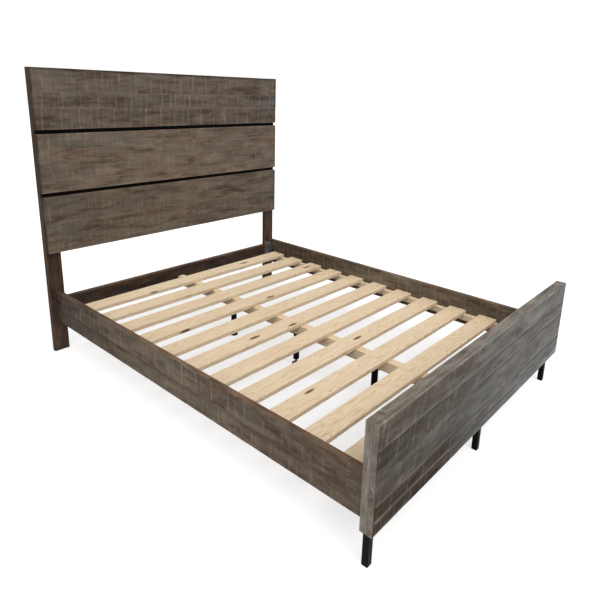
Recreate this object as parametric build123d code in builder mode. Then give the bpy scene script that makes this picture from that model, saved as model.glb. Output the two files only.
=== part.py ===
from build123d import *
from math import radians, tan
import os

# A queen platform bed: a plank headboard and a plank footboard on tenoned timber frames, two plank side
# rails hung on steel hooks, a centre beam on three levelling legs, and eleven pine slats.
# Millimetres. +Z is up and +Y runs towards the headboard. The origin is on the floor, midway between
# the bed's sides and midway between the headboard's back and the footboard's outer face.

os.makedirs("parts", exist_ok=True)

# ---- driving dimensions -------------------------------------------------------------------------
bed_width = 1640.0
inner_length = 2050.0            # headboard planks to footboard, for a 2032 mm mattress
inner_width = 1530.0             # between the side rails, for a 1524 mm mattress
frame_thick = 28.0               # posts, stiles and rails of both end frames
plank_thick = 20.0               # planks nailed over the end frames
post_width = 78.0
plank_gap = 0.6                  # hairline joint between neighbouring planks
edge_ease = 1.2                  # bevel on every plank's long front edges

head_height = 1495.0
reveal = 18.0                    # black shadow gap between two headboard panels
head_courses = [[115.0, 79.0, 106.0], [79.0, 70.0, 93.0, 58.0], [143.0, 157.0]]  # top panel first
batten_high = 70.0
batten_deep = 14.0
batten_stop = 10.0               # the battens stop this far inside the posts' outer faces

foot_bottom = 156.0
foot_top = 540.0
foot_courses = [90.0, 68.0, 120.0, 58.0, 48.0]                                   # top plank first

side_rail_thick = 25.0
side_rail_bottom = 173.0
side_rail_courses = [95.0, 77.0]                                                 # upper board first

head_rail_high = 70.0            # horizontal members of the two end frames
foot_rail_high = 90.0
stile_width = 70.0
tenon_thick = 10.0
tenon_long = 18.0
tenon_shoulder = 16.0

leg_size = 25.0                  # square tube legs under the footboard
leg_wall = 2.0
leg_plug_thick = 3.0
leg_inset = 34.0                 # footboard's end to the outer leg's face
leg_set_back = 9.5               # the legs stand this far inward of the frame's middle
leg_flange = (64.0, 33.0)        # plate welded on the leg's top, screwed up into the frame

steel_thick = 3.0                # hook, socket, hanger and flange plates
slat_count = 11
slat_wide = 100.0
slat_thick = 20.0
slat_top = 260.0
cleat_thick = 25.0
cleat_high = 35.0
beam_wide = 44.0
beam_high = 55.0

support_spacing = 512.0
support_r = 16.0
support_bottom = 32.0
leveller_stud_r = 5.0

screw_r = 2.0
screw_head_r = 3.9
wood_screw_long = 40.0
plate_screw_long = 16.0
screw_play = 0.2                 # every screw hole's radius is this much over the screw's
screw_seat_angle = 82

# ---- planes and levels worked out from them ------------------------------------------------------
head_face = inner_length / 2                     # front of the headboard planks
head_frame = head_face + plank_thick             # front of the head posts
head_back = head_frame + frame_thick
foot_inner = -inner_length / 2                   # inner face of the foot frame
foot_frame = foot_inner - frame_thick            # back of the footboard planks
foot_face = foot_frame - plank_thick
head_mid = (head_frame + head_back) / 2
foot_mid = (foot_inner + foot_frame) / 2
leg_y = foot_mid + leg_set_back
leg_flange_y = leg_y + (leg_size - leg_flange[1]) / 2

post_inner = bed_width / 2 - post_width
batten_end = bed_width / 2 - batten_stop
rail_inner = inner_width / 2
rail_outer = rail_inner + side_rail_thick
rail_top = side_rail_bottom + sum(side_rail_courses)
rail_mid_z = (side_rail_bottom + rail_top) / 2

panel_high = sum(head_courses[0])
panel_tops = [head_height - i * (panel_high + reveal) for i in range(len(head_courses))]
head_bottom = panel_tops[-1] - panel_high
reveal_z = [top - panel_high - reveal / 2 for top in panel_tops[:-1]]

cleat_top = slat_top - slat_thick
beam_top = cleat_top
beam_bottom = beam_top - beam_high
beam_mid_y = (foot_inner + head_frame) / 2
support_y = {"foot": beam_mid_y - support_spacing, "middle": beam_mid_y,
             "head": beam_mid_y + support_spacing}
leg_x = {"left": -bed_width / 2 + leg_inset + leg_size / 2, "centre": 0.0,
         "right": bed_width / 2 - leg_inset - leg_size / 2}
stretcher_bottom = 180.0
stretcher_top = 300.0


def courses(top, heights):
    """Lowest and highest level of each plank, from the top of the stack down."""
    spans = []
    for high in heights:
        spans.append((top - high + plank_gap / 2, top - plank_gap / 2))
        top -= high
    spans[0] = (spans[0][0], spans[0][1] + plank_gap / 2)
    spans[-1] = (spans[-1][0] - plank_gap / 2, spans[-1][1])
    return spans


head_spans = [span for top, heights in zip(panel_tops, head_courses) for span in courses(top, heights)]
foot_spans = courses(foot_top, foot_courses)
rail_spans = courses(rail_top, side_rail_courses)
fixing_end = bed_width / 2 - 20.0               # clear of the rail and its socket plate
fixing_x = (-fixing_end, 0.0, fixing_end)

cleat_y = (foot_inner + 75.0, head_frame - 75.0)
cleat_fixing_y = [cleat_y[0] + 60.0 + i * (cleat_y[1] - cleat_y[0] - 120.0) / 5 for i in range(6)]
slat_first = cleat_y[0] + slat_wide / 2 + 5.0
slat_pitch = (cleat_y[1] - cleat_y[0] - slat_wide - 10.0) / (slat_count - 1)
slat_y = [slat_first + i * slat_pitch for i in range(slat_count)]
slat_fixing_x = rail_inner - cleat_thick / 2


def save(piece, name):
    """Label one finished piece and write it as its own STEP file."""
    piece.part.label = name
    export_step(piece.part, f"parts/{name}.step")


def timber(x, y, z, mode=Mode.ADD):
    """A squared length of wood or metal between two places on each axis."""
    with Locations(((x[0] + x[1]) / 2, (y[0] + y[1]) / 2, (z[0] + z[1]) / 2)):
        Box(abs(x[1] - x[0]), abs(y[1] - y[0]), abs(z[1] - z[0]), mode=mode)


def spot(x, y, z, out):
    """A place on a face, with its local Z pointing out of the face."""
    return Plane(origin=(x, y, z), z_dir=out).location


def pilot(spots, depth):
    """Straight screw holes bored in from a face."""
    with Locations(*spots):
        Hole(screw_r + screw_play, depth)


def countersunk(spots, depth):
    """Screw holes with a seat for the flat head."""
    with Locations(*spots):
        CounterSinkHole(screw_r + screw_play, screw_head_r + 0.3, depth, screw_seat_angle)


# ---- screws ---------------------------------------------------------------------------------------
# Every fixing point is worked out once, so that the holes and the screws can't disagree.
head_fix = [(x, (z0 + z1) / 2) for x in fixing_x for z0, z1 in head_spans]
foot_fix = [(x, (z0 + z1) / 2) for x in fixing_x for z0, z1 in foot_spans]
hook_fix = [(-50.0, 45.0), (-50.0, -45.0), (-25.0, 0.0)]           # along the rail, up from its middle
socket_fix = [62.0, 11.5, -50.0]                                   # up from the rail's middle
socket_x = rail_inner - steel_thick / 2
hanger_fix = [(x, z) for x in (-38.0, 38.0) for z in (beam_bottom + 10.0, beam_bottom + 32.0)]
flange_fix = (-35.0, 35.0)
leg_fix = (-22.0, 22.0)

wood_screw_spots = [spot(x, head_back, z, (0, 1, 0)) for x, z in head_fix]
wood_screw_spots += [spot(x, foot_inner, z, (0, 1, 0)) for x, z in foot_fix]
wood_screw_spots += [spot(side * slat_fixing_x, y, slat_top, (0, 0, 1)) for side in (-1, 1) for y in slat_y]
wood_screw_spots += [spot(side * (rail_inner - cleat_thick), y, cleat_top - cleat_high / 2, (-side, 0, 0))
                     for side in (-1, 1) for y in cleat_fixing_y]

plate_screw_spots = []
for side in (-1, 1):
    for end, end_y in ((1, head_frame), (-1, foot_inner)):
        for along, up in hook_fix:
            plate_screw_spots.append(spot(side * (rail_inner - steel_thick), end_y + end * along,
                                          rail_mid_z + up, (-side, 0, 0)))
        for up in socket_fix:
            plate_screw_spots.append(spot(side * socket_x, end_y, rail_mid_z + up, (0, -end, 0)))
for end, end_y in ((1, head_frame), (-1, foot_inner)):
    for x, z in hanger_fix:
        plate_screw_spots.append(spot(x, end_y - end * steel_thick, z, (0, -end, 0)))
for y in support_y.values():
    for along in flange_fix:
        plate_screw_spots.append(spot(0, y + along, beam_bottom - steel_thick, (0, 0, -1)))
for x in leg_x.values():
    for along in leg_fix:
        plate_screw_spots.append(spot(x + along, foot_mid, foot_bottom - steel_thick, (0, 0, -1)))


def flat_head_screw(length):
    """A countersunk wood screw with a cross recess, its head just under Z = 0."""
    drop = 0.15
    cone = (screw_head_r - screw_r) / tan(radians(screw_seat_angle / 2))
    with BuildPart() as screw:
        with BuildSketch(Plane.XZ):
            with BuildLine():
                Polyline((0, -drop), (screw_head_r, -drop), (screw_r, -drop - cone),
                         (screw_r, -length + 4), (0.3, -length), (0, -length), close=True)
            make_face()
        revolve(axis=Axis.Z)
        with Locations((0, 0, -drop)):
            Box(4.4, 0.9, 2.4, mode=Mode.SUBTRACT)
            Box(0.9, 4.4, 2.4, mode=Mode.SUBTRACT)
    return screw.part


for name, length, spots in (("wood_screws", wood_screw_long, wood_screw_spots),
                            ("plate_screws", plate_screw_long, plate_screw_spots)):
    one_screw = flat_head_screw(length)
    with BuildPart() as screws:
        with Locations(*spots):
            add(one_screw)
    save(screws, name)

# ---- headboard ------------------------------------------------------------------------------------
head_post_y = (head_frame, head_back)
tenon_y_head = (head_mid - tenon_thick / 2, head_mid + tenon_thick / 2)
head_cross = {"head_top_rail": (head_height - head_rail_high, head_height),
              "head_lower_rail": (head_bottom, head_bottom + head_rail_high),
              "head_stretcher": (stretcher_bottom, stretcher_top)}
hook_slots = [(-30.0, -7.0), (30.0, 53.0)]       # lowest and highest edge, up from the rail's middle


def hook_pocket(side, end, face_y):
    """The recess in a post for a socket plate, with a deeper slot behind each hook."""
    timber((side * (socket_x - 17.0), side * (socket_x + 17.0)), (face_y, face_y + end * steel_thick),
           (rail_mid_z - 70.0, rail_mid_z + 70.0), Mode.SUBTRACT)
    for low, high in hook_slots:
        timber((side * (socket_x - 3.0), side * (socket_x + 3.0)), (face_y, face_y + end * 13.0),
               (rail_mid_z + low - 11.0, rail_mid_z + high + 1.0), Mode.SUBTRACT)
    pilot([spot(side * socket_x, face_y + end * steel_thick, rail_mid_z + up, (0, -end, 0))
           for up in socket_fix], plate_screw_long - steel_thick + 1.0)


for name, side in (("head_post_left", -1), ("head_post_right", 1)):
    with BuildPart() as head_post:
        timber((side * post_inner, side * bed_width / 2), head_post_y, (0, head_height))
        chamfer(head_post.edges().filter_by(Axis.Z), 2.0)
        chamfer(head_post.faces().sort_by(Axis.Z)[0].edges(), 3.0)
        for z in reveal_z:
            timber((side * post_inner, side * batten_end), (head_frame, head_frame + batten_deep),
                   (z - batten_high / 2, z + batten_high / 2), Mode.SUBTRACT)
        for low, high in head_cross.values():
            timber((side * post_inner, side * (post_inner + tenon_long)), tenon_y_head,
                   (low + tenon_shoulder, high - tenon_shoulder), Mode.SUBTRACT)
        hook_pocket(side, 1, head_frame)
        countersunk([spot(x, head_back, z, (0, 1, 0)) for x, z in head_fix if x == side * fixing_end],
                    frame_thick)
    save(head_post, name)

stile_tenon = 20.0
for name, (low, high) in head_cross.items():
    with BuildPart() as cross_rail:
        timber((-post_inner, post_inner), head_post_y, (low, high))
        chamfer(cross_rail.edges().filter_by(Axis.X), 1.5)
        for side in (-1, 1):
            timber((side * post_inner, side * (post_inner + tenon_long)), tenon_y_head,
                   (low + tenon_shoulder, high - tenon_shoulder))
        if name == "head_top_rail":
            timber((-25, 25), tenon_y_head, (low, low + stile_tenon), Mode.SUBTRACT)
        if name == "head_lower_rail":
            timber((-25, 25), tenon_y_head, (high - stile_tenon, high), Mode.SUBTRACT)
        if name == "head_stretcher":
            pilot([spot(x, head_frame, z, (0, -1, 0)) for x, z in hanger_fix],
                  plate_screw_long - steel_thick + 1.0)
        fix = [spot(x, head_back, z, (0, 1, 0)) for x, z in head_fix if x == 0.0 and low < z < high]
        if fix:
            countersunk(fix, frame_thick)
    save(cross_rail, name)

with BuildPart() as head_centre_stile:
    stile_z = (head_bottom + head_rail_high, head_height - head_rail_high)
    timber((-stile_width / 2, stile_width / 2), head_post_y, stile_z)
    chamfer(head_centre_stile.edges().filter_by(Axis.Z), 1.5)
    timber((-25, 25), tenon_y_head, (stile_z[0] - stile_tenon, stile_z[1] + stile_tenon))
    for z in reveal_z:
        timber((-stile_width / 2, stile_width / 2), (head_frame, head_frame + batten_deep),
               (z - batten_high / 2, z + batten_high / 2), Mode.SUBTRACT)
    countersunk([spot(x, head_back, z, (0, 1, 0)) for x, z in head_fix
                 if x == 0.0 and stile_z[0] < z < stile_z[1]], frame_thick)
    pilot([spot(x, head_back, z, (0, 1, 0)) for x, z in head_fix
           if x == 0.0 and stile_z[1] < z < stile_z[1] + stile_tenon], frame_thick)
save(head_centre_stile, "head_centre_stile")

# Black battens close the two shadow gaps. They are glued into notches across the posts and the stile.
for name, z in zip(("head_batten_upper", "head_batten_lower"), reveal_z):
    with BuildPart() as batten:
        timber((-batten_end, batten_end), (head_frame, head_frame + batten_deep),
               (z - batten_high / 2, z + batten_high / 2))
        chamfer(batten.edges().filter_by(Axis.X), 0.8)
    save(batten, name)


def plank(name, y, z, spots):
    """One full-width plank with eased front edges and blind holes in its back."""
    with BuildPart() as board:
        timber((-bed_width / 2, bed_width / 2), y, z)
        front_face = board.faces().filter_by(Axis.Y).sort_by(Axis.Y)[0]
        chamfer(front_face.edges(), edge_ease)
        pilot(spots, wood_screw_long - frame_thick + 1.0)
    save(board, name)


for i, (low, high) in enumerate(head_spans):
    plank(f"head_plank_{i + 1}", (head_face, head_frame), (low, high),
          [spot(x, head_frame, (low + high) / 2, (0, 1, 0)) for x in fixing_x])

# ---- footboard ------------------------------------------------------------------------------------
foot_post_y = (foot_frame, foot_inner)
tenon_y_foot = (foot_mid - tenon_thick / 2, foot_mid + tenon_thick / 2)
foot_cross = {"foot_top_rail": (foot_top - foot_rail_high, foot_top),
              "foot_bottom_rail": (foot_bottom, foot_bottom + foot_rail_high)}

for name, side in (("foot_stile_left", -1), ("foot_stile_right", 1)):
    with BuildPart() as foot_stile:
        timber((side * post_inner, side * bed_width / 2), foot_post_y, (foot_bottom, foot_top))
        chamfer(foot_stile.edges().filter_by(Axis.Z), 1.5)
        for low, high in foot_cross.values():
            timber((side * post_inner, side * (post_inner + tenon_long)), tenon_y_foot,
                   (low + tenon_shoulder, high - tenon_shoulder), Mode.SUBTRACT)
        hook_pocket(side, -1, foot_inner)
        countersunk([spot(x, foot_inner, z, (0, 1, 0)) for x, z in foot_fix if x == side * fixing_end],
                    frame_thick)
        pilot([spot(leg_x["right"] * side + along, foot_mid, foot_bottom, (0, 0, -1)) for along in leg_fix],
              plate_screw_long - steel_thick + 1.0)
    save(foot_stile, name)

for name, (low, high) in foot_cross.items():
    with BuildPart() as cross_rail:
        timber((-post_inner, post_inner), foot_post_y, (low, high))
        chamfer(cross_rail.edges().filter_by(Axis.X), 1.5)
        for side in (-1, 1):
            timber((side * post_inner, side * (post_inner + tenon_long)), tenon_y_foot,
                   (low + tenon_shoulder, high - tenon_shoulder))
        if name == "foot_top_rail":
            timber((-25, 25), tenon_y_foot, (low, low + stile_tenon), Mode.SUBTRACT)
        else:
            timber((-25, 25), tenon_y_foot, (high - stile_tenon, high), Mode.SUBTRACT)
            pilot([spot(x, foot_inner, z, (0, 1, 0)) for x, z in hanger_fix],
                  plate_screw_long - steel_thick + 1.0)
            pilot([spot(along, foot_mid, foot_bottom, (0, 0, -1)) for along in leg_fix],
                  plate_screw_long - steel_thick + 1.0)
        fix = [spot(x, foot_inner, z, (0, 1, 0)) for x, z in foot_fix if x == 0.0 and low < z < high]
        if fix:
            countersunk(fix, frame_thick)
    save(cross_rail, name)

with BuildPart() as foot_centre_stile:
    stile_z = (foot_bottom + foot_rail_high, foot_top - foot_rail_high)
    timber((-stile_width / 2, stile_width / 2), foot_post_y, stile_z)
    chamfer(foot_centre_stile.edges().filter_by(Axis.Z), 1.5)
    timber((-25, 25), tenon_y_foot, (stile_z[0] - stile_tenon, stile_z[1] + stile_tenon))
    countersunk([spot(x, foot_inner, z, (0, 1, 0)) for x, z in foot_fix
                 if x == 0.0 and stile_z[0] < z < stile_z[1]], frame_thick)
    pilot([spot(x, foot_inner, z, (0, 1, 0)) for x, z in foot_fix
           if x == 0.0 and stile_z[0] - stile_tenon < z < stile_z[0]], frame_thick)
save(foot_centre_stile, "foot_centre_stile")

for i, (low, high) in enumerate(foot_spans):
    plank(f"foot_plank_{i + 1}", (foot_face, foot_frame), (low, high),
          [spot(x, foot_frame, (low + high) / 2, (0, 1, 0)) for x in fixing_x])

# Square tube legs, each welded under a plate that is screwed up into the frame.
for name, x in leg_x.items():
    with BuildPart() as foot_leg:
        with BuildSketch(Plane.XY.offset(leg_plug_thick)):
            with Locations((x, leg_y)):
                RectangleRounded(leg_size, leg_size, 3.0)
                RectangleRounded(leg_size - 2 * leg_wall, leg_size - 2 * leg_wall, 1.0, mode=Mode.SUBTRACT)
        extrude(amount=foot_bottom - steel_thick - leg_plug_thick)
        with BuildSketch(Plane.XY.offset(foot_bottom - steel_thick)):
            with Locations((x, leg_flange_y)):
                RectangleRounded(leg_flange[0], leg_flange[1], 4.0)
        extrude(amount=steel_thick)
        countersunk([spot(x + along, foot_mid, foot_bottom - steel_thick, (0, 0, -1)) for along in leg_fix],
                    steel_thick)
    save(foot_leg, f"foot_leg_{name}")

with BuildPart() as foot_leg_plugs:
    with BuildSketch(Plane.XY):
        with Locations(*[(x, leg_y) for x in leg_x.values()]):
            RectangleRounded(leg_size - 0.4, leg_size - 0.4, 2.8)
    extrude(amount=leg_plug_thick)
    with BuildSketch(Plane.XY.offset(leg_plug_thick)):
        with Locations(*[(x, leg_y) for x in leg_x.values()]):
            RectangleRounded(leg_size - 2 * leg_wall - 0.4, leg_size - 2 * leg_wall - 0.4, 0.8)
    extrude(amount=12.0)
save(foot_leg_plugs, "foot_leg_plugs")

# ---- side rails -----------------------------------------------------------------------------------
for side_name, side in (("left", -1), ("right", 1)):
    for level, (low, high) in zip(("upper", "lower"), rail_spans):
        with BuildPart() as side_board:
            timber((side * rail_inner, side * rail_outer), (foot_inner, head_frame), (low, high))
            outer_face = side_board.faces().filter_by(Axis.X).sort_by(Axis.X)[-1 if side > 0 else 0]
            chamfer(outer_face.edges().filter_by(Axis.Y), edge_ease)
            for end, end_y in ((1, head_frame), (-1, foot_inner)):
                spots = [spot(side * rail_inner, end_y + end * along, rail_mid_z + up, (-side, 0, 0))
                         for along, up in hook_fix if low < rail_mid_z + up < high]
                pilot(spots, plate_screw_long - steel_thick + 1.0)
            cleat_z = cleat_top - cleat_high / 2
            if low < cleat_z < high:
                pilot([spot(side * rail_inner, y, cleat_z, (-side, 0, 0)) for y in cleat_fixing_y],
                      wood_screw_long - cleat_thick + 1.0)
        save(side_board, f"side_board_{side_name}_{level}")

    with BuildPart() as cleat:
        timber((side * (rail_inner - cleat_thick), side * rail_inner), cleat_y,
               (cleat_top - cleat_high, cleat_top))
        chamfer(cleat.edges().filter_by(Axis.Y), 1.5)
        countersunk([spot(side * (rail_inner - cleat_thick), y, cleat_top - cleat_high / 2, (-side, 0, 0))
                     for y in cleat_fixing_y], cleat_thick)
        pilot([spot(side * slat_fixing_x, y, cleat_top, (0, 0, 1)) for y in slat_y],
              wood_screw_long - slat_thick + 1.0)
    save(cleat, f"cleat_{side_name}")

# Steel plates on the rails' inner faces end in two turned-down hooks, which drop into slotted socket
# plates let into the posts, so the bed comes apart without tools.
with BuildPart() as rail_hooks:
    for side in (-1, 1):
        for end, end_y in ((1, head_frame), (-1, foot_inner)):
            hook_plane = Plane(origin=(side * socket_x, end_y, rail_mid_z), x_dir=(0, end, 0),
                               z_dir=(end, 0, 0))
            with BuildSketch(hook_plane):
                with Locations((-35.5, 0)):
                    RectangleRounded(69.0, 130.0, 5.0)
                for low, high in hook_slots:
                    with Locations((4.5, low + 6.0)):
                        Rectangle(13.0, 11.0)
                    with Locations((7.5, low + 1.5)):
                        Rectangle(7.0, 20.0)
            extrude(amount=steel_thick / 2, both=True)
            countersunk([spot(side * (rail_inner - steel_thick), end_y + end * along, rail_mid_z + up,
                              (-side, 0, 0)) for along, up in hook_fix], steel_thick)
save(rail_hooks, "rail_hooks")

with BuildPart() as rail_sockets:
    for side in (-1, 1):
        for end, end_y in ((1, head_frame), (-1, foot_inner)):
            socket_plane = Plane(origin=(side * socket_x, end_y, rail_mid_z), x_dir=(end, 0, 0),
                                 z_dir=(0, -end, 0))
            with BuildSketch(socket_plane):
                Rectangle(33.6, 139.6)
                for low, high in hook_slots:
                    with Locations((0, (low + high) / 2)):
                        Rectangle(4.0, high - low, mode=Mode.SUBTRACT)
            extrude(amount=-steel_thick)
            countersunk([spot(side * socket_x, end_y, rail_mid_z + up, (0, -end, 0))
                         for up in socket_fix], steel_thick)
save(rail_sockets, "rail_sockets")

# ---- centre beam and its legs -----------------------------------------------------------------------
with BuildPart() as centre_beam:
    timber((-beam_wide / 2, beam_wide / 2), (foot_inner + 1.0, head_frame - 1.0), (beam_bottom, beam_top))
    chamfer(centre_beam.edges().filter_by(Axis.Y), 1.5)
    pilot([spot(0, y + along, beam_bottom, (0, 0, -1)) for y in support_y.values() for along in flange_fix],
          plate_screw_long - steel_thick + 1.0)
save(centre_beam, "centre_beam")

hanger_long = 40.0
hanger_out = 50.0
hanger_top = beam_bottom + 41.0
with BuildPart() as beam_hangers:
    cheek_out = beam_wide / 2 + steel_thick
    for end, end_y in ((1, head_frame), (-1, foot_inner)):
        timber((-cheek_out, cheek_out), (end_y, end_y - end * hanger_long),
               (beam_bottom - steel_thick, beam_bottom))
        for side in (-1, 1):
            timber((side * beam_wide / 2, side * cheek_out), (end_y, end_y - end * hanger_long),
                   (beam_bottom - steel_thick, hanger_top))
            timber((side * beam_wide / 2, side * hanger_out), (end_y, end_y - end * steel_thick),
                   (beam_bottom - steel_thick, hanger_top))
        countersunk([spot(x, end_y - end * steel_thick, z, (0, -end, 0)) for x, z in hanger_fix],
                    steel_thick)
save(beam_hangers, "beam_hangers")

for name, y in support_y.items():
    with BuildPart() as support_leg:
        with BuildSketch(Plane.XY.offset(beam_bottom - steel_thick)):
            with Locations((0, y)):
                RectangleRounded(beam_wide, 90.0, 8.0)
        extrude(amount=steel_thick)
        with BuildSketch(Plane.XY.offset(support_bottom)):
            with Locations((0, y)):
                Circle(support_r)
                Circle(support_r - 2.0, mode=Mode.SUBTRACT)
        extrude(amount=beam_bottom - steel_thick - support_bottom)
        with BuildSketch(Plane.XY.offset(support_bottom)):
            with Locations((0, y)):
                Circle(support_r)
                Circle(leveller_stud_r + 0.05, mode=Mode.SUBTRACT)
        extrude(amount=8.0)
        countersunk([spot(0, y + along, beam_bottom - steel_thick, (0, 0, -1)) for along in flange_fix],
                    steel_thick)
    save(support_leg, f"support_leg_{name}")

    with BuildPart() as leveller:
        with BuildSketch(Plane.XY):
            with Locations((0, y)):
                Circle(22.0)
        extrude(amount=8.0)
        fillet(leveller.edges().group_by(Axis.Z)[-1], 3.0)
        with BuildSketch(Plane.XY.offset(8.0)):
            with Locations((0, y)):
                RegularPolygon(8.5, 6, major_radius=False)
        extrude(amount=6.0)
        with BuildSketch(Plane.XY.offset(14.0)):
            with Locations((0, y)):
                Circle(leveller_stud_r)
        extrude(amount=50.0)
        chamfer(leveller.edges().group_by(Axis.Z)[-1], 1.0)
    save(leveller, f"leveller_{name}")

# ---- slats ------------------------------------------------------------------------------------------
for i, y in enumerate(slat_y):
    with BuildPart() as slat:
        timber((-rail_inner + 1.0, rail_inner - 1.0), (y - slat_wide / 2, y + slat_wide / 2),
               (slat_top - slat_thick, slat_top))
        chamfer(slat.edges().filter_by(Axis.X), 2.0)
        countersunk([spot(side * slat_fixing_x, y, slat_top, (0, 0, 1)) for side in (-1, 1)], slat_thick)
    save(slat, f"slat_{i + 1}")
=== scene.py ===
import math

import bpy
import numpy as np
from mathutils import Matrix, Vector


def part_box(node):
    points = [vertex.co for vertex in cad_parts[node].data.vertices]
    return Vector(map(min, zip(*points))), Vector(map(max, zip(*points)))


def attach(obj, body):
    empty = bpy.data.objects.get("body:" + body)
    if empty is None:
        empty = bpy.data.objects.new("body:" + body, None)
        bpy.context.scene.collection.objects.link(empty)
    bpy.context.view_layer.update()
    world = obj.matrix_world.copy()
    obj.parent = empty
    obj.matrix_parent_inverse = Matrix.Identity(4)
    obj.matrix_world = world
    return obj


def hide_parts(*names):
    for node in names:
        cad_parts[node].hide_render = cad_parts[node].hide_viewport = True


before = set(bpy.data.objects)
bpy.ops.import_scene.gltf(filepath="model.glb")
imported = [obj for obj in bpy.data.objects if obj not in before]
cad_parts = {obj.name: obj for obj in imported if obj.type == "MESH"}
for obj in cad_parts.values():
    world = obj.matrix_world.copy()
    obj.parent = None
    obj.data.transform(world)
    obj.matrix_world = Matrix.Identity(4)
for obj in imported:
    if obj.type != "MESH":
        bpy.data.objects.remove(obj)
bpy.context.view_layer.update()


# ---- The studio ----------------------------------------------------------------------------------
# The bed stands on a pale seamless floor in a white room. Soft daylight comes from all round, a
# large lamp hangs high over the foot end and a weaker one fills in from the open side.

scene = bpy.context.scene
scene.view_settings.view_transform = "Standard"

# The camera stands off the left of the foot end, at shoulder height, and looks across the bed.
eye = (-1.9362, -1.7872, 1.4447)
heading, tilt, roll = 50.072, -14.822, 2.077
camera_data = bpy.data.cameras.new("studio_camera")
camera_data.sensor_width = 36
camera_data.lens = 32.356
camera_data.shift_x = -0.0431
camera_data.shift_y = -0.1148
camera = bpy.data.objects.new("studio_camera", camera_data)
camera.matrix_world = (
    Matrix.Translation(eye)
    @ Matrix.Rotation(math.radians(-heading), 4, "Z")
    @ Matrix.Rotation(math.radians(90 + tilt), 4, "X")
    @ Matrix.Rotation(math.radians(roll), 4, "Z")
)
scene.collection.objects.link(camera)
scene.camera = camera

# The room looks white but lights the bed less than that, as a room with dark furniture in it does.
room_light, room_white = 0.62, 1.0
room = bpy.data.worlds.new("white_room")
room.use_nodes = True
room_tree = room.node_tree
wall = room_tree.nodes["Background"]
wall.inputs["Color"].default_value = (1, 1, 1, 1)
seen = room_tree.nodes.new("ShaderNodeLightPath")
brightness = room_tree.nodes.new("ShaderNodeMapRange")
brightness.inputs["To Min"].default_value = room_light
brightness.inputs["To Max"].default_value = room_white
room_tree.links.new(seen.outputs["Is Camera Ray"], brightness.inputs["Value"])
room_tree.links.new(brightness.outputs[0], wall.inputs["Strength"])
scene.world = room


def sun_lamp(name, strength, softness, turn, height):
    """A far lamp that shines towards heading turn, from that height above the floor, in degrees."""
    lamp_data = bpy.data.lights.new(name, "SUN")
    lamp_data.energy = strength
    lamp_data.angle = math.radians(softness)
    lamp = bpy.data.objects.new(name, lamp_data)
    lamp.rotation_euler = (math.radians(90 - height), 0, math.radians(-turn))
    scene.collection.objects.link(lamp)


sun_lamp("key_lamp", strength=2.0, softness=45, turn=24, height=58)
sun_lamp("fill_lamp", strength=0.6, softness=60, turn=80, height=30)

# The floor lies half a millimetre under the feet, and glows a little so that it runs into the room.
half = 30  # metres from the middle of the floor to its sides
floor_drop = 0.0005
floor_glow = 0.6
floor_mesh = bpy.data.meshes.new("studio_floor")
floor_mesh.from_pydata(
    [(-half, -half, 0), (half, -half, 0), (half, half, 0), (-half, half, 0)], [], [(0, 1, 2, 3)]
)
floor = bpy.data.objects.new("studio_floor", floor_mesh)
floor.location.z = -floor_drop
scene.collection.objects.link(floor)
floor_paint = bpy.data.materials.new("pale_floor_paint")
floor_paint.use_nodes = True
floor_skin = floor_paint.node_tree.nodes["Principled BSDF"].inputs
floor_skin["Base Color"].default_value = (0.5, 0.5, 0.5, 1)
floor_skin["Roughness"].default_value = 0.9
floor_skin["Specular IOR Level"].default_value = 0.1
floor_skin["Emission Color"].default_value = (1, 1, 1, 1)
floor_tree = floor_paint.node_tree
floor_seen = floor_tree.nodes.new("ShaderNodeLightPath")
glow = floor_tree.nodes.new("ShaderNodeMapRange")
glow.inputs["To Min"].default_value = 0.0
glow.inputs["To Max"].default_value = floor_glow
floor_tree.links.new(floor_seen.outputs["Is Camera Ray"], glow.inputs["Value"])
floor_tree.links.new(glow.outputs[0], floor_skin["Emission Strength"])
floor_mesh.materials.append(floor_paint)


# ---- Headboard planks ----------------------------------------------------------------------------
# Nine solid planks in three panels, laid course on course with a shadow gap between the panels.
# They are band-sawn hardwood, so the blade has left pairs of pale ripples across the grain, then
# stained smoke brown and rubbed back along the edges. They are screwed on from behind.

saw_pitch = 0.0957  # from one strong saw mark to the next
saw_pair = 0.036    # from a strong mark back to its weak twin
saw_profile = ((0, 0.003, 0.006), (1, 0.55, 0))  # metres from the mark's middle, share of its depth


def drift(x, y, size_x, size_y, seed):
    """Smooth random values from -1 to 1 over a face, in swells of size_x by size_y metres."""
    cells = 61
    value = np.random.default_rng(seed).uniform(-1, 1, (cells, cells))
    x, y = x / size_x, y / size_y
    left, down = np.floor(x).astype(int), np.floor(y).astype(int)
    x, y = x - left, y - down
    x, y = x * x * (3 - 2 * x), y * y * (3 - 2 * y)
    left, right = left % cells, (left + 1) % cells
    down, up = down % cells, (down + 1) % cells
    lower = value[left, down] * (1 - x) + value[right, down] * x
    upper = value[left, up] * (1 - x) + value[right, up] * x
    return lower * (1 - y) + upper * y


def ruled(length, step, corner, stops=()):
    """Grid lines along one side: close at both ends, where the edge is rounded, and at the stops."""
    corner = np.array(corner)
    count = max(3, round(length / step))
    plain = np.linspace(corner[-1], length - corner[-1], count)[1:-1]
    if len(stops):
        close = (np.array(stops)[:, None] + (-0.006, -0.003, 0, 0.003, 0.006)).ravel()
        plain = plain[np.abs(plain[:, None] - close).min(1) > 0.0025]
        plain = np.concatenate([plain, close])
    return np.sort(np.concatenate([corner, length - corner, plain]))


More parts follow.
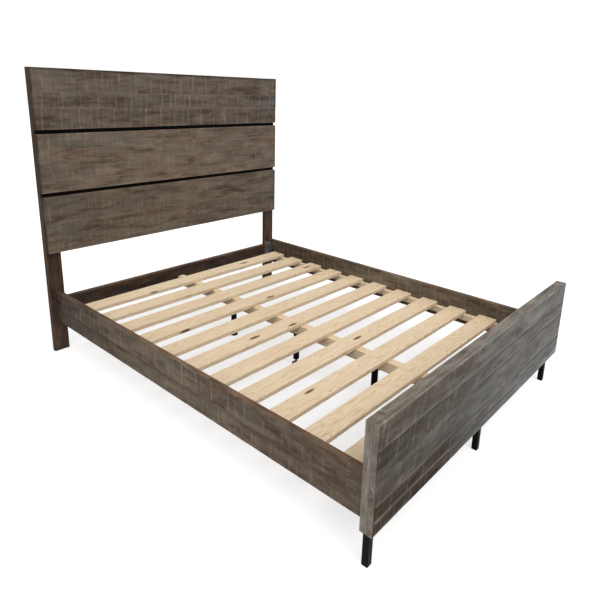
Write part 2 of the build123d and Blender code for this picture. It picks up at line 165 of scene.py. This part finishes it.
def shell(shape):
    """The outer skin of a grid of blocks: which grid points are on it, and its four-sided faces."""
    i, j, k = np.indices(shape)
    skin = (i % (shape[0] - 1) == 0) | (j % (shape[1] - 1) == 0) | (k % (shape[2] - 1) == 0)
    ids = np.full(shape, -1)
    ids[skin] = np.arange(skin.sum())

    def quads(sheet, flip):
        corners = (sheet[:-1, :-1], sheet[1:, :-1], sheet[1:, 1:], sheet[:-1, 1:])
        found = np.stack(corners, -1).reshape(-1, 4)
        return found[:, ::-1] if flip else found

    faces = [
        quads(ids[0], True), quads(ids[-1], False),
        quads(ids[:, 0], False), quads(ids[:, -1], True),
        quads(ids[:, :, 0], True), quads(ids[:, :, -1], False),
    ]
    return i[skin], j[skin], k[skin], np.concatenate(faces)


def along_board(share, levels):
    """The level at each share of the board's length, from levels evenly spaced along it."""
    levels = np.array(levels, float).reshape(len(levels), -1)
    stations = np.linspace(0, 1, len(levels))
    return np.stack([np.interp(share, stations, channel) for channel in levels.T], 1)


def sawn_board(
    name, low, high, run, seed, first_mark=None, mark_strength=(1,), lean=0.0, worn=1.0,
    end_wear=1.0, lightness=1.0, fade=(1,), edge_tint=(1, 1, 1), end_tint=(1, 1, 1), shade_band=(0,),
    shade_band_width=0.014, end_band=0.0, sunk=0.0003, step=0.008,
):
    """One solid board between two corners, its grain along axis run. Its edges are rubbed round,
    its faces are a little uneven, and the saw's marks are cut into it as shallow grooves, which
    lean over by lean metres. The strength of the marks, the fade and the painted shade band
    along the upper edge are levels spaced evenly along the board. The fade is the stain's own
    tone. On the footboard planks it also paints a sheen, and on the side rails it paints shade.
    Dark stain also reaches end_band metres in from both ends.
    The board carries three attributes: grain (metres along, across and through the board), marks
    (saw groove, rubbed edge, dark end stain with painted shade) and tint (how much stain the
    board took up, together with the painted light of the fade)."""
    rng = np.random.default_rng(seed)
    low, high = np.array(low, float), np.array(high, float)
    size = high - low
    wide, thin = sorted((axis for axis in range(3) if axis != run), key=lambda axis: -size[axis])
    length, width, depth = extent = size[[run, wide, thin]]

    # Where the saw marks cross the board, and how deep each one is.
    plain_end = 0.012
    marks, strength = np.array([]), np.array([])
    if first_mark is not None:
        strong = np.arange(first_mark, length - plain_end, saw_pitch)
        strong = strong + rng.normal(0, 0.0018, len(strong))
        weak = strong - saw_pair + rng.normal(0, 0.0022, len(strong))
        marks = np.concatenate([strong, weak])
        strength = np.concatenate([
            rng.uniform(0.65, 1.1, len(strong)), rng.uniform(0.15, 0.65, len(weak))
        ]) * along_board(marks / length, mark_strength)[:, 0]
        inside = (marks > plain_end) & (marks < length - plain_end)
        marks, strength = marks[inside], strength[inside]

    # A grid over the board's skin, with close lines at the edges and at the marks.
    corner = (0, 0.0006, 0.0013, 0.0022, 0.0034, 0.0056)
    lines = (
        ruled(length, step, corner, marks),
        ruled(width, 0.011, corner),
        ruled(depth, 0.009, corner[:5]),
    )
    i, j, k, faces = shell(tuple(len(line) for line in lines))
    spot = np.stack([lines[0][i], lines[1][j], lines[2][k]], 1)
    along, across, through = spot.T
    saw = np.zeros(len(lines[0]))
    for mark, how_strong in zip(marks, strength):
        saw = np.maximum(saw, how_strong * np.interp(abs(lines[0] - mark), *saw_profile))
    saw = saw[i] * np.clip(0.62 + 0.75 * drift(along, across, 0.22, 0.035, seed + 1), 0.08, 1.2)

    # The edges are rubbed round, in some places more than in others.
    least_round, extra_round = 0.0009, 0.0013
    rubbing = np.clip(0.62 + 0.75 * drift(along + 3 * across, through, 0.13, 0.4, seed + 2), 0.08, 1)
    radius = least_round + extra_round * worn * rubbing * np.clip(
        0.5 + 0.9 * drift(along, across + through, 0.023, 0.05, seed + 3), 0, 1
    )
    core = np.clip(spot, radius[:, None], extent - radius[:, None])
    out = spot - core
    out /= np.linalg.norm(out, axis=1, keepdims=True)
    flatness = abs(out[:, 2])

    # The faces lie a little under the full size, uneven, and dip at the saw marks.
    saw_depth = 0.00035
    uneven = 0.00012 * (1 + drift(along, across, 0.09, 0.04, seed + 4))
    uneven += 0.00006 * (1 + drift(along, across, 0.03, 0.012, seed + 5))
    dip = flatness * (sunk + uneven + saw_depth * saw) + (1 - flatness) * uneven * 0.6
    place = core + out * (radius - dip)[:, None]
    from_end = np.minimum(along, length - along)
    sway = lean * (across / width - 0.5) + 0.0022 * drift(along, across, 0.07, 0.03, seed + 6)
    place[:, 0] += np.clip(from_end / 0.03, 0, 1) * sway

    # Where the finish is rubbed off, where end stain and the painted shade band lie dark, and how much
    # the wood took up, together with the fade's painted light.
    rub_reach, end_reach = 0.0042, 0.006
    from_edge = np.sort(np.minimum(spot, extent - spot), 1)[:, 1]
    wear = np.exp(-((from_edge / rub_reach) ** 2)) * rubbing * worn
    wear = wear * np.where(from_end < end_reach, end_wear, 1)
    # The shade band darkens the face along the upper edge. It is painted shade, for a shaded top edge or
    # the shade under a joint.
    stain_and_shade = np.clip(1.4 * (1 - (width - across) / shade_band_width), 0, 1) * flatness
    stain_and_shade = stain_and_shade * along_board(along / length, shade_band)[:, 0]
    if end_band:
        stain_and_shade = np.maximum(stain_and_shade, np.clip(1.3 * (1 - from_end / end_band), 0, 1))
    stain_and_shade = stain_and_shade * (1 + 0.4 * drift(along, across, 0.1, 0.1, seed + 7))
    swell = 1 + 0.07 * drift(along, across, 0.31, 0.1, seed + 8)
    level = swell[:, None] * along_board(along / length, fade)
    facing = out**2
    stain_and_painted_light = lightness * (
        facing[:, 0:1] * end_tint + level * (facing[:, 1:2] * edge_tint + facing[:, 2:3])
    )

    points = np.zeros_like(place)
    points[:, [run, wide, thin]] = place
    if (run, wide, thin) not in ((0, 1, 2), (1, 2, 0), (2, 0, 1)):
        faces = faces[:, ::-1]
    mesh = bpy.data.meshes.new(name)
    mesh.from_pydata((points + low).tolist(), [], faces.tolist())
    offset = rng.uniform(-40, 40, 3)
    for attribute, values in (
        ("grain", spot + offset),
        ("marks", np.stack([saw * flatness, wear, stain_and_shade], 1)),
        ("tint", stain_and_painted_light),
    ):
        stored = mesh.attributes.new(attribute, "FLOAT_VECTOR", "POINT")
        stored.data.foreach_set("vector", values.astype(np.float32).ravel())
    mesh.shade_smooth()
    board = bpy.data.objects.new(name, mesh)
    scene.collection.objects.link(board)
    return board


def stain_colour(red, green, blue):
    """A colour from its 0 to 255 screen values, as a shader takes it."""
    linear = [((c / 255 + 0.055) / 1.055) ** 2.4 for c in (red, green, blue)]
    return (*linear, 1)


def add_node(finish, kind, inputs=(), **settings):
    """Adds one shader node to a finish and sets or joins its inputs."""
    node = finish.node_tree.nodes.new("ShaderNode" + kind)
    for setting, value in settings.items():
        setattr(node, setting, value)
    for socket, value in dict(inputs).items():
        if isinstance(value, bpy.types.NodeSocket):
            finish.node_tree.links.new(value, node.inputs[socket])
        else:
            node.inputs[socket].default_value = value
    return node


def figure(finish, place, along, across, detail=3.0, twist=0.0, start=0.0):
    """Noise drawn out along the grain, its swells along by across metres."""
    stretched = add_node(finish, "Mapping", {
        "Vector": place, "Scale": (1 / along, 1 / across, 1 / across), "Location": (start, start, 0),
    })
    noise = add_node(finish, "TexNoise", {
        "Vector": stretched.outputs[0], "Scale": 1.0, "Detail": detail, "Roughness": 0.62,
        "Distortion": twist,
    })
    return noise.outputs[0]


def spread(finish, value, low, high, new_low=0.0, new_high=1.0):
    """Stretches a value from low..high to new_low..new_high and cuts off what is outside."""
    return add_node(finish, "MapRange", {
        "Value": value, "From Min": low, "From Max": high, "To Min": new_low, "To Max": new_high,
    }).outputs[0]


def times(finish, first, second):
    """One value times another."""
    return add_node(finish, "Math", {0: first, 1: second}, operation="MULTIPLY").outputs[0]


def over(finish, amount, under, top, blend="MIX"):
    """Lays one colour over another."""
    return add_node(finish, "MixRGB", {
        "Fac": amount, "Color1": under, "Color2": top,
    }, blend_type=blend).outputs[0]


def ramp(finish, value, *stops):
    """A colour for each value, blended between stops of (value, colour)."""
    node = add_node(finish, "ValToRGB", {"Fac": value})
    elements = node.color_ramp.elements
    while len(elements) < len(stops):
        elements.new(0.5)
    for element, (position, colour) in zip(elements, stops):
        element.position = position
        element.color = colour
    return node.outputs[0]


def weathered_timber(
    name, deep, ground, pale, warm, cool, chalk, rubbed, stain_and_shade_colour=None, warm_share=0.5,
    cool_share=0.5, mark_share=0.9, rub_share=0.9, chatter=0.3, streaky=0.4, scorch=0.75,
    contrast=1.0, shine=0.2, gloss=0.55,
):
    """Stained, rubbed-back hardwood for the boards that sawn_board makes. The wood goes from deep
    over ground to pale, with warm and cool patches and scorched spots. Chalk lies in the saw
    marks and in the blade's fine chatter between them. The edges are rubbed, or dark with end
    stain and painted shade."""
    finish = bpy.data.materials.new(name)
    finish.use_nodes = True
    skin = finish.node_tree.nodes["Principled BSDF"]
    place = add_node(finish, "Attribute", attribute_name="grain").outputs["Vector"]
    tint = add_node(finish, "Attribute", attribute_name="tint").outputs["Color"]
    marks = add_node(finish, "Attribute", attribute_name="marks").outputs["Vector"]
    saw_mark, rubbed_edge, stain_and_shade_edge = add_node(finish, "SeparateXYZ", {0: marks}).outputs

    broad = figure(finish, place, 0.16, 0.035, 4.0, 0.35)
    streak = figure(finish, place, 0.075, 0.0055, 5.0, 0.3, 7.0)
    fibre = figure(finish, place, 0.022, 0.0012, 3.0, 0.0, 13.0)
    patch = figure(finish, place, 0.15, 0.05, 3.0, 0.3, 23.0)
    bloom = figure(finish, place, 0.24, 0.085, 2.0, 0.3, 31.0)
    burn = figure(finish, place, 0.055, 0.016, 3.0, 0.4, 37.0)
    ripple = figure(finish, place, 0.0085, 0.11, 2.0, 0.0, 41.0)
    fuzz = figure(finish, place, 0.006, 0.016, 3.0, 0.0, 43.0)

    # The stained wood, before anything is rubbed off it.
    mixed = add_node(finish, "Math", {0: broad, 1: 1 - streaky, 2: times(finish, streak, streaky)},
                     operation="MULTIPLY_ADD").outputs[0]
    reach = 0.13 / contrast
    wood = ramp(finish, spread(finish, mixed, 0.5 - reach, 0.5 + reach),
                (0.0, deep), (0.48, ground), (1.0, pale))
    wood = over(finish, spread(finish, patch, 0.5, 0.66, 0.0, warm_share), wood, warm)
    wood = over(finish, spread(finish, bloom, 0.5, 0.64, 0.0, cool_share), wood, cool)
    scorched = times(finish, spread(finish, burn, 0.54, 0.68), spread(finish, patch, 0.44, 0.56))
    wood = over(finish, times(finish, scorched, scorch), wood, deep)
    fibre_shade = ramp(finish, fibre, (0.3, (0.82, 0.82, 0.82, 1)), (0.7, (1.14, 1.14, 1.14, 1)))
    wood = over(finish, 1.0, wood, fibre_shade, "MULTIPLY")
    wood = over(finish, 1.0, wood, tint, "MULTIPLY")

    # Chalk in the chatter and the saw marks, then the rubbed edges, then the dark end stain and painted
    # shade.
    ripple = times(finish, spread(finish, ripple, 0.5, 0.72), spread(finish, broad, 0.42, 0.6))
    wood = over(finish, times(finish, ripple, chatter), wood, chalk)
    broken = spread(finish, fuzz, 0.34, 0.56, 0.3, 1.0)
    wood = over(finish, times(finish, times(finish, saw_mark, broken), mark_share), wood, chalk)
    wood = over(finish, times(finish, times(finish, rubbed_edge, broken), rub_share), wood, rubbed)
    wood = over(finish, times(finish, stain_and_shade_edge, 0.85), wood, stain_and_shade_colour or deep)

    height = add_node(finish, "Math", {0: fibre, 1: 0.6, 2: times(finish, streak, 0.8)},
                      operation="MULTIPLY_ADD").outputs[0]
    height = add_node(finish, "Math", {0: ripple, 1: -0.25 * chatter, 2: height},
                      operation="MULTIPLY_ADD").outputs[0]
    bump = add_node(finish, "Bump", {"Height": height, "Strength": 0.55, "Distance": 0.0009})
    links = finish.node_tree.links
    links.new(wood, skin.inputs["Base Color"])
    links.new(bump.outputs[0], skin.inputs["Normal"])
    links.new(spread(finish, streak, 0.3, 0.7, gloss - 0.07, gloss + 0.1), skin.inputs["Roughness"])
    skin.inputs["Specular IOR Level"].default_value = shine
    return finish


head_stain = weathered_timber(
    "smoke_brown_planks",
    deep=stain_colour(62, 50, 42), ground=stain_colour(93, 80, 69), pale=stain_colour(108, 96, 84),
    warm=stain_colour(86, 64, 52), cool=stain_colour(86, 86, 77), chalk=stain_colour(140, 130, 117),
    rubbed=stain_colour(136, 121, 104), mark_share=0.72, rub_share=0.75, chatter=0.5, streaky=0.22,
    scorch=0.35, contrast=0.85, shine=0.16, stain_and_shade_colour=stain_colour(48, 36, 25),
)
# Each plank from the top down: its first saw mark from the left end, how strong its marks are, and
# how light the stain came out on it. The second one is cooler, and turns blue at its right end.
head_planks = (
    (0.080, (1.0, 1.0, 0.9), 1.07),
    (0.049, (1.0, 1.0, 1.0), 1.00),
    (0.038, (1.0, 0.9, 0.8), 0.90),
    (0.062, (0.9, 0.5, 0.2), 1.14),
    (0.021, (0.3, 0.3, 0.4), 1.22),
    (0.012, (0.2, 0.4, 0.9, 0.9), 1.19),
    (0.055, (0.3, 0.3, 0.3), 1.25),
    (0.030, (0.1, 0.1, 0.1), 1.00),
    (0.071, (0.1, 0.1, 0.1), 0.98),
)
blue_end = (
    (0.93, 0.99, 1.02), (0.96, 1.02, 1.05), (1.00, 1.06, 1.09), (1.02, 1.09, 1.12), (1.05, 1.12, 1.15),
    (1.03, 1.10, 1.13), (1.00, 1.06, 1.09), (0.91, 0.98, 1.04), (0.71, 0.85, 1.12),
)
plain_fade = (1.0, 1.13, 1.02)
head_panels = ((1, 3), (4, 7), (8, 9))  # the first and the last plank of each panel
joint_gap = 0.0004                      # half the joint between two planks, pressed shut
eased = 0.001                           # what is taken off the planks at a shadow gap


def pressed_up(node, highest, lowest):
    """A plank's corners, let out to touch the planks above and below it."""
    low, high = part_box(node)
    low.z = max(low.z - joint_gap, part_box(lowest)[0].z)
    high.z = min(high.z + joint_gap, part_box(highest)[1].z)
    return low, high


for number, (first_mark, mark_strength, lightness) in enumerate(head_planks, 1):
    node = f"head_plank_{number}"
    top, bottom = next(panel for panel in head_panels if number <= panel[1])
    low, high = pressed_up(node, f"head_plank_{top}", f"head_plank_{bottom}")
    if number == bottom < len(head_planks):
        low.z += eased
    if number == top > 1:
        high.z -= eased
    # edge_tint darkens the plank faces inside the joints and shadow gaps, and the top plank's shade band
    # darkens its top edge. Both are painted shade.
    plank = sawn_board(
        f"headboard_plank_{number}", low, high, run=0, seed=100 + 10 * number,
        first_mark=first_mark, mark_strength=mark_strength, end_wear=0.2, lightness=lightness,
        fade=blue_end if number == 2 else plain_fade, edge_tint=(0.6, 0.52, 0.46),
        end_tint=(0.24, 0.14, 0.07), shade_band=(1.0 if number == 1 else 0,), shade_band_width=0.015,
        end_band=0.010,
    )
    plank.data.materials.append(head_stain)
    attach(plank, "bed_frame")
    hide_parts(node)


# ---- Headboard posts and rails -------------------------------------------------------------------
# Two square-edged hardwood posts stand on the floor and carry three rails and a centre stile, all
# tenoned and glued. They have a darker brown stain, rubbed to a glint of bare wood on the corners.

post_stain = weathered_timber(
    "dark_post_stain",
    deep=stain_colour(30, 21, 16), ground=stain_colour(52, 40, 32), pale=stain_colour(72, 57, 45),
    warm=stain_colour(70, 42, 28), cool=stain_colour(52, 47, 41), chalk=stain_colour(98, 84, 70),
    rubbed=stain_colour(138, 94, 58), warm_share=0.6, cool_share=0.3, chatter=0.15, rub_share=0.6,
)
for side, seed in (("left", 304), ("right", 305)):
    node = f"head_post_{side}"
    post = sawn_board(
        f"headboard_post_{side}", *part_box(node), run=2, seed=seed,
        fade=(1.7, 1.1, 0.95), edge_tint=(0.60, 0.48, 0.34),
    )
    post.data.materials.append(post_stain)
    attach(post, "bed_frame")
    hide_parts(node)


def shouldered(node, left_node, right_node):
    """The visible part of a rail between two posts, without the tenons that are inside them."""
    low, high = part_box(node)
    low.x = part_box(left_node)[1].x
    high.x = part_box(right_node)[0].x
    return low, high


for number, name in enumerate(("top_rail", "lower_rail", "stretcher")):
    node = f"head_{name}"
    rail = sawn_board(
        f"headboard_{name}", *shouldered(node, "head_post_left", "head_post_right"), run=0,
        seed=330 + 10 * number, first_mark=0.06, mark_strength=(0.4,),
    )
    rail.data.materials.append(post_stain)
    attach(rail, "bed_frame")
    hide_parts(node)

low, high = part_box("head_centre_stile")
low.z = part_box("head_lower_rail")[1].z
high.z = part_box("head_top_rail")[0].z
centre_stile = sawn_board("headboard_centre_stile", low, high, run=2, seed=371)
centre_stile.data.materials.append(post_stain)
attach(centre_stile, "bed_frame")
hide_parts("head_centre_stile")


# ---- Black battens -------------------------------------------------------------------------------
# A thin board lies behind each gap between the panels, let into the posts and the centre stile. It
# is painted matt black, so the gap reads as a dark line.


def finish_nodes(finish, *nodes):
    """Gives pieces that keep the CAD model's own shape their finish."""
    for node in nodes:
        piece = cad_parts[node]
        piece.data.materials.clear()
        piece.data.materials.append(finish)


batten_paint = bpy.data.materials.new("matt_black_paint")
batten_paint.use_nodes = True
batten_skin = batten_paint.node_tree.nodes["Principled BSDF"]
batten_place = add_node(batten_paint, "TexCoord").outputs["Object"]
brushing = figure(batten_paint, batten_place, 0.2, 0.004, 3.0)
batten_bump = add_node(batten_paint, "Bump", {"Height": brushing, "Strength": 0.3, "Distance": 0.0005})
batten_paint.node_tree.links.new(batten_bump.outputs[0], batten_skin.inputs["Normal"])
batten_paint.node_tree.links.new(
    ramp(batten_paint, brushing, (0.3, stain_colour(7, 6, 6)), (0.7, stain_colour(14, 13, 12))),
    batten_skin.inputs["Base Color"],
)
batten_skin.inputs["Roughness"].default_value = 0.7
batten_skin.inputs["Specular IOR Level"].default_value = 0.12
finish_nodes(batten_paint, "head_batten_upper", "head_batten_lower")


# ---- Footboard planks ----------------------------------------------------------------------------
# Five planks of the same sawn hardwood cover the foot frame from side to side. Their stain is
# greyer and has gone on in streaks. Towards the right end they are painted lighter and greyer,
# which is a painted sheen. A pale rubbed line marks each joint, with a band of painted shade under it.

foot_stain = weathered_timber(
    "smoke_grey_planks",
    deep=stain_colour(64, 56, 50), ground=stain_colour(98, 92, 86), pale=stain_colour(114, 109, 103),
    warm=stain_colour(88, 72, 64), cool=stain_colour(92, 95, 89), chalk=stain_colour(140, 134, 125),
    rubbed=stain_colour(152, 144, 133), warm_share=0.75, cool_share=0.6, mark_share=0.85,
    rub_share=1.0, chatter=0.5, streaky=0.3, contrast=0.9, shine=0.12, gloss=0.5,
)
# Each plank from the top down: first saw mark, strength of the marks along the plank, their lean,
# how light it is from the left end to the right, and how brown it is at both ends. The rise in
# lightness to the right, and a brown share below nought there, paint a grey-blue sheen.
foot_planks = (
    (0.058, (0.9, 0.9, 0.5, 0.3), 0.030, (0.65, 0.85, 1.25, 1.50, 1.60), (0.30, 0.00)),
    (0.110, (0.7, 0.6, 0.5, 0.3), 0.012, (0.40, 0.60, 1.20, 1.20, 1.25), (0.30, 0.00)),
    (0.040, (0.3, 0.5, 0.3, 0.2), 0.040, (0.65, 0.80, 1.30, 1.30, 1.45), (0.20, 0.00)),
    (0.095, (0.5, 0.5, 0.4, 0.2), 0.010, (0.20, 0.30, 1.70, 1.25, 1.15), (1.00, -0.10)),
    (0.022, (0.45, 0.45, 0.4, 0.2), 0.010, (0.15, 0.30, 1.30, 1.65, 2.25), (0.90, -0.15)),
)
# grey_sheen is the grey-blue cast of the painted sheen at the right end. brown_stain is the real brown
# stain at the left end.
grey_sheen, brown_stain = np.array((0.925, 1.0, 1.05)), np.array((1.6, 1.0, 0.35))
still_brown = 0.6  # how much of the left end's brown is left a quarter of the way along


def brown_to_sheen(lightness, brown):
    """The plank's colours at five even stations along it, from how light and brown it is: brown stain at
    the left end, painted sheen towards the right.
    """
    left, right = brown
    share = np.array((left, still_brown * left, right, right, right))[:, None]
    return np.array(lightness)[:, None] * ((1 - share) * grey_sheen + share * brown_stain)


for number, (first_mark, mark_strength, lean, lightness, brown) in enumerate(foot_planks, 1):
    node = f"foot_plank_{number}"
    plank = sawn_board(
        f"footboard_plank_{number}", *pressed_up(node, "foot_plank_1", "foot_plank_5"), run=0,
        seed=500 + 10 * number, first_mark=first_mark, mark_strength=mark_strength, lean=lean,
        end_wear=0.35, fade=brown_to_sheen(lightness, brown), edge_tint=(1.1, 1.1, 1.1),
        end_tint=(1.54, 1.45, 1.36),
        # The shade band paints shade along the top of each plank below the first, under its joint.
        shade_band=(0.7 if number > 1 else 0,), worn=1.1,
    )
    plank.data.materials.append(foot_stain)
    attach(plank, "bed_frame")
    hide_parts(node)


# ---- Footboard frame -----------------------------------------------------------------------------
# Two stiles, two rails and a centre stile behind the planks, tenoned and glued. Their edges and
# ends show beside the planks, with a thin grey wash that lets the wood shine through.

frame_wash = weathered_timber(
    "pale_grey_wash",
    deep=stain_colour(74, 65, 55), ground=stain_colour(110, 102, 91), pale=stain_colour(136, 127, 115),
    warm=stain_colour(112, 88, 70), cool=stain_colour(106, 107, 96), chalk=stain_colour(156, 147, 134),
    rubbed=stain_colour(144, 130, 112), warm_share=0.4, cool_share=0.5, rub_share=0.6, chatter=0.25,
)
for side, seed in (("left", 604), ("right", 605)):
    node = f"foot_stile_{side}"
    stile = sawn_board(
        f"footboard_stile_{side}", *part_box(node), run=2, seed=seed,
        end_wear=0.4, fade=(1.02, 1.12, 1.2), edge_tint=(1.06, 1.14, 1.24),
    )
    stile.data.materials.append(frame_wash)
    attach(stile, "bed_frame")
    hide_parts(node)
for number, level in enumerate(("top", "bottom")):
    node = f"foot_{level}_rail"
    rail = sawn_board(
        f"footboard_{level}_rail", *shouldered(node, "foot_stile_left", "foot_stile_right"), run=0,
        seed=630 + 10 * number, edge_tint=(0.95, 0.98, 1.05),
    )
    rail.data.materials.append(frame_wash)
    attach(rail, "bed_frame")
    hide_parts(node)
low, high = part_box("foot_centre_stile")
low.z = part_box("foot_bottom_rail")[1].z
high.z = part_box("foot_top_rail")[0].z
foot_centre = sawn_board("footboard_centre_stile", low, high, run=2, seed=661)
foot_centre.data.materials.append(frame_wash)
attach(foot_centre, "bed_frame")
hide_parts("foot_centre_stile")


# ---- Side rail boards ----------------------------------------------------------------------------
# Each side rail is two boards edge to edge, hooked to the posts at both ends. The upper board shows
# the saw's pairs of marks, and both are stained brown. Towards the headboard they are painted
# darker, which is painted shade.

rail_stain = weathered_timber(
    "smoke_brown_rails",
    deep=stain_colour(48, 37, 29), ground=stain_colour(80, 68, 56), pale=stain_colour(98, 86, 73),
    warm=stain_colour(74, 51, 39), cool=stain_colour(76, 75, 64), chalk=stain_colour(130, 120, 104),
    rubbed=stain_colour(116, 94, 76), warm_share=0.4, cool_share=0.4, rub_share=0.35,
)
# Each board: its first saw mark from the foot end, how strong its marks are along it, and how dark
# the painted shade under the joint above it is. Both boards of a rail are ripped from one plank, so
# they share a seed.
side_boards = (
    ("upper", 0.0725, (0.3, 0.9, 1.0, 0.8, 0.3), (0,)),
    ("lower", 0.0330, (0.5, 0.9, 0.5, 0.2, 0.1), (0.1, 0.25, 0.6, 0.9, 0.9)),
)
# The boards' lightness from the foot end to the head end: lightest in the middle, and darkest at the
# headboard, which is painted shade.
rail_painted_shade = ((1.3, 1.3, 1.3), (1.5, 1.5, 1.54), (1.8, 1.86, 1.9), (1.0, 0.97, 0.93), (0.46, 0.40, 0.34))
for side, seed in (("left", 785), ("right", 805)):
    for level, first_mark, mark_strength, shade_band in side_boards:
        node = f"side_board_{side}_{level}"
        upper, lower = f"side_board_{side}_upper", f"side_board_{side}_lower"
        board = sawn_board(
            f"side_rail_{side}_{level}", *pressed_up(node, upper, lower), run=1, seed=seed,
            first_mark=first_mark, mark_strength=mark_strength, shade_band=shade_band, fade=rail_painted_shade,
            edge_tint=(1.12, 0.92, 0.80), worn=0.8,
        )
        board.data.materials.append(rail_stain)
        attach(board, "bed_frame")
        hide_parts(node)


# ---- Slats, cleats and centre beam ---------------------------------------------------------------
# Eleven planed pine slats lie on a pine cleat along each rail and on a pine beam down the middle.
# The wood is bare, with its growth rings and a few knots showing.


def bare_pine(name, run=None):
    """Planed pine. With run, it is for a CAD piece whose grain follows that axis."""
    finish = bpy.data.materials.new(name)
    finish.use_nodes = True
    skin = finish.node_tree.nodes["Principled BSDF"]
    if run is None:
        place = add_node(finish, "Attribute", attribute_name="grain").outputs["Vector"]
    else:
        parts = add_node(finish, "SeparateXYZ", {
            0: add_node(finish, "TexCoord").outputs["Object"]}).outputs
        turned = [parts[run], parts[(run + 1) % 3], parts[(run + 2) % 3]]
        place = add_node(finish, "CombineXYZ", dict(enumerate(turned))).outputs[0]
    sway = figure(finish, place, 0.5, 0.05, 2.0, 0.0, 3.0)
    ring_place = add_node(finish, "Mapping", {"Vector": place, "Scale": (0.25, 1.0, 1.0)}).outputs[0]
    ring_place = add_node(finish, "VectorMath", {
        0: ring_place,
        1: add_node(finish, "CombineXYZ", {1: spread(finish, sway, 0.2, 0.8, -0.045, 0.045)}).outputs[0],
    }, operation="ADD").outputs[0]
    rings = add_node(finish, "TexWave", {
        "Vector": ring_place, "Scale": 26.0, "Distortion": 1.6, "Detail": 2.0, "Detail Scale": 2.0,
    }, bands_direction="Y", wave_profile="SAW").outputs[1]
    fibre = figure(finish, place, 0.05, 0.0009, 3.0, 0.0, 5.0)
    mottle = figure(finish, place, 0.3, 0.06, 3.0, 0.4, 9.0)
    knot_place = add_node(finish, "Mapping", {"Vector": place, "Scale": (2.6, 9.0, 9.0)}).outputs[0]
    knots = add_node(finish, "TexVoronoi", {"Vector": knot_place, "Scale": 1.0}).outputs["Distance"]
    wood = ramp(finish, rings, (0.0, stain_colour(218, 198, 168)), (0.7, stain_colour(210, 188, 156)),
                (0.93, stain_colour(186, 154, 116)), (1.0, stain_colour(212, 190, 158)))
    wood = over(finish, spread(finish, mottle, 0.4, 0.7, 0.0, 0.35), wood, stain_colour(224, 208, 182))
    wood = over(finish, spread(finish, fibre, 0.4, 0.7, 0.0, 0.25), wood, stain_colour(182, 154, 120))
    wood = over(finish, spread(finish, knots, 0.11, 0.07), wood, stain_colour(110, 74, 48))
    bump = add_node(finish, "Bump", {"Height": fibre, "Strength": 0.3, "Distance": 0.0004})
    links = finish.node_tree.links
    links.new(wood, skin.inputs["Base Color"])
    links.new(bump.outputs[0], skin.inputs["Normal"])
    links.new(spread(finish, rings, 0.0, 1.0, 0.62, 0.5), skin.inputs["Roughness"])
    skin.inputs["Specular IOR Level"].default_value = 0.35
    return finish


slat_count = 11
slat_pine = bare_pine("bare_pine_slats")
for number in range(1, slat_count + 1):
    node = f"slat_{number}"
    slat = sawn_board(
        f"pine_slat_{number}", *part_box(node), run=0, seed=800 + 10 * number, worn=0.6,
        sunk=0.0002, step=0.03,
    )
    slat.data.materials.append(slat_pine)
    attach(slat, "bed_frame")
    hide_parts(node)
rail_pine = bare_pine("bare_pine_rails", run=1)
finish_nodes(rail_pine, "cleat_left", "cleat_right", "centre_beam")


# ---- Steel legs ----------------------------------------------------------------------------------
# Three square tubes with a plate welded on top carry the foot end, screwed up into its bottom rail.
# They are powder coated black with a fine orange-peel skin. A black plastic plug closes each tube.


def coated(name, colour, peel, peel_size, roughness, metallic=0.0, cloud=0.1, sheen_level=0.5):
    """A coat or plating on metal or plastic: a fine uneven skin, with clouds in its gloss."""
    finish = bpy.data.materials.new(name)
    finish.use_nodes = True
    skin = finish.node_tree.nodes["Principled BSDF"]
    place = add_node(finish, "TexCoord").outputs["Object"]
    grain = figure(finish, place, peel_size, peel_size, 2.0)
    clouds = figure(finish, place, 0.03, 0.03, 4.0, 0.4, 3.0)
    darker = tuple(c * (1 - 2.5 * cloud) for c in colour[:3]) + (1,)
    bump = add_node(finish, "Bump", {"Height": grain, "Strength": peel, "Distance": 0.0003})
    links = finish.node_tree.links
    links.new(ramp(finish, clouds, (0.35, darker), (0.65, colour)), skin.inputs["Base Color"])
    links.new(bump.outputs[0], skin.inputs["Normal"])
    links.new(spread(finish, clouds, 0.3, 0.7, roughness - cloud, roughness + cloud),
              skin.inputs["Roughness"])
    skin.inputs["Metallic"].default_value = metallic
    skin.inputs["Specular IOR Level"].default_value = sheen_level
    return finish


powder_coat = coated(
    "black_powder_coat", stain_colour(7, 7, 8), 0.3, 0.0012, 0.36, cloud=0.06, sheen_level=0.12,
)
black_plastic = coated("black_plastic", stain_colour(26, 26, 27), 0.2, 0.0008, 0.5)
finish_nodes(powder_coat, "foot_leg_left", "foot_leg_centre", "foot_leg_right")
finish_nodes(black_plastic, "foot_leg_plugs")


# ---- Support legs and levelling feet -------------------------------------------------------------
# Three round legs of the same coated steel are screwed up under the centre beam. A black moulded
# foot on a threaded stem screws into each one from below, to take up an uneven floor.

finish_nodes(powder_coat, "support_leg_foot", "support_leg_middle", "support_leg_head")
finish_nodes(black_plastic, "leveller_foot", "leveller_middle", "leveller_head")


# ---- Rail hooks, hangers and screws --------------------------------------------------------------
# Pressed zinc-plated hooks on the rails drop into sockets on the posts, and two hangers hold the
# beam. The wood screws are yellow passivated steel and the plate screws are bright zinc.

zinc_plate = coated("zinc_plate", stain_colour(178, 182, 186), 0.15, 0.002, 0.34, metallic=1.0)
screw_steel = coated("passivated_steel", stain_colour(168, 146, 96), 0.1, 0.001, 0.36, metallic=1.0)
finish_nodes(zinc_plate, "rail_hooks", "rail_sockets", "beam_hangers", "plate_screws")
finish_nodes(screw_steel, "wood_screws")
